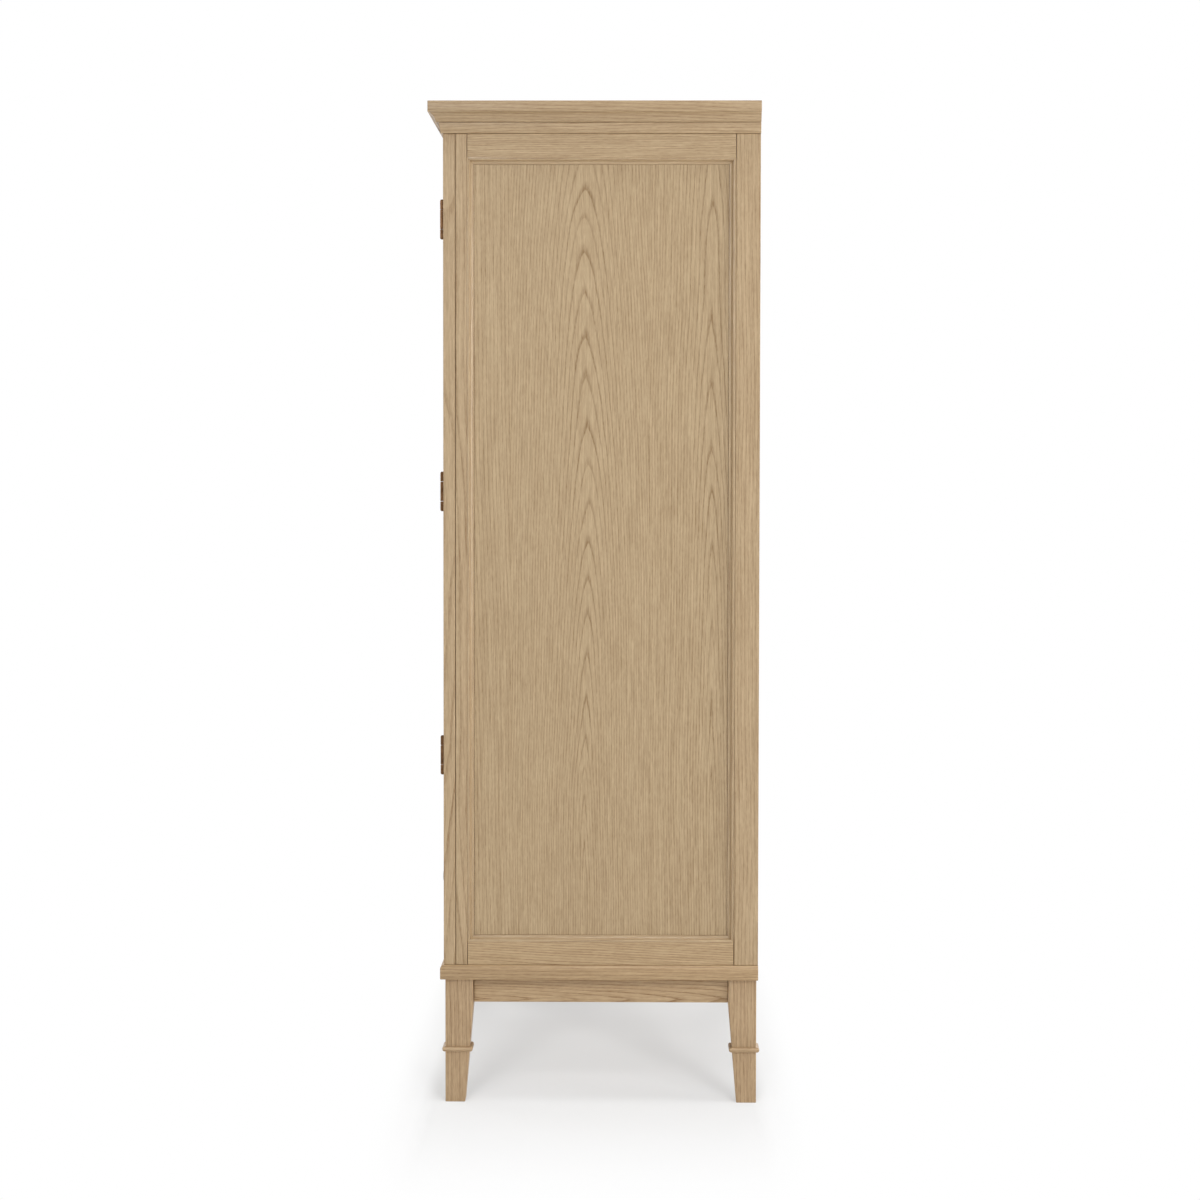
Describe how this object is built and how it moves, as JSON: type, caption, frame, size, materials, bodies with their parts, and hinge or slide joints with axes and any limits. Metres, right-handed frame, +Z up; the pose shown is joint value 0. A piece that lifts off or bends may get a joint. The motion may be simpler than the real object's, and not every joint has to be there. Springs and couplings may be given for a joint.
{
  "type": "tall cabinet",
  "caption": "Tall oak cabinet with framed doors on butt hinges over a wide drawer, shelves inside, a moulded top and tapered collared legs.",
  "frame": {"origin": "on the floor, under the middle of the cabinet's outline", "axes": "+Z up, -Y out of the doors' front, +X to the cabinet's right side as seen from the front"},
  "size_m": [1.154, 0.63, 1.9],
  "materials": {
    "oak_top": "oiled oak, long grain along each board",
    "oak_stand": "oiled oak",
    "oak_case": "oiled oak",
    "oak_door": "oiled oak",
    "oak_panel": "oiled oak, upright grain",
    "oak_inside": "paler oak, planed",
    "aged_bronze": "dark antique brass with worn edges"
  },
  "bodies": {
    "case": {"cornice": "oak_top", "carcass_top": "oak_top", "base_board": "oak_stand", "front_leg_left": "oak_stand", "front_leg_right": "oak_stand", "rear_leg_left": "oak_stand", "rear_leg_right": "oak_stand", "front_apron": "oak_stand", "rear_apron": "oak_stand", "side_apron_left": "oak_stand", "side_apron_right": "oak_stand", "side_front_post_left": "oak_case", "side_front_post_right": "oak_case", "side_rear_post_left": "oak_case", "side_rear_post_right": "oak_case", "side_top_rail_left": "oak_case", "side_top_rail_right": "oak_case", "side_bottom_rail_left": "oak_case", "side_bottom_rail_right": "oak_case", "side_panel_left": "oak_panel", "side_panel_right": "oak_panel", "face_stile_left": "oak_case", "face_stile_right": "oak_case", "face_top_rail": "oak_case", "face_middle_rail": "oak_case", "back_panel": "oak_inside", "middle_floor": "oak_inside", "shelf_1": "oak_inside", "shelf_2": "oak_inside", "hinge_frame_leaf_1_left": "aged_bronze", "hinge_frame_leaf_2_left": "aged_bronze", "hinge_frame_leaf_3_left": "aged_bronze", "hinge_frame_leaf_1_right": "aged_bronze", "hinge_frame_leaf_2_right": "aged_bronze", "hinge_frame_leaf_3_right": "aged_bronze"},
    "left_door": {"door_hinge_stile_left": "oak_door", "door_lock_stile_left": "oak_door", "door_top_rail_left": "oak_door", "door_bottom_rail_left": "oak_door", "door_panel_left": "oak_panel", "door_knob_left": "aged_bronze", "hinge_door_leaf_1_left": "aged_bronze", "hinge_door_leaf_2_left": "aged_bronze", "hinge_door_leaf_3_left": "aged_bronze"},
    "right_door": {"door_hinge_stile_right": "oak_door", "door_lock_stile_right": "oak_door", "door_top_rail_right": "oak_door", "door_bottom_rail_right": "oak_door", "door_panel_right": "oak_panel", "door_knob_right": "aged_bronze", "hinge_door_leaf_1_right": "aged_bronze", "hinge_door_leaf_2_right": "aged_bronze", "hinge_door_leaf_3_right": "aged_bronze"},
    "drawer": {"drawer_front": "oak_door", "drawer_side_left": "oak_inside", "drawer_side_right": "oak_inside", "drawer_back": "oak_inside", "drawer_bottom": "oak_inside", "drawer_knob_left": "aged_bronze", "drawer_knob_right": "aged_bronze"}
  },
  "joints": [
    {"name": "left_door_swing", "type": "hinge", "parent": "case", "child": "left_door", "pos_m": [-0.5025, -0.2925, 1.1731], "axis": [0, 0, -1], "range_deg": [0, 165]},
    {"name": "right_door_swing", "type": "hinge", "parent": "case", "child": "right_door", "pos_m": [0.5025, -0.2925, 1.1731], "axis": [0, 0, 1], "range_deg": [0, 165]},
    {"name": "drawer_slide", "type": "slide", "parent": "case", "child": "drawer", "axis": [0, -1, 0], "range_m": [0, 0.42]}
  ]
}
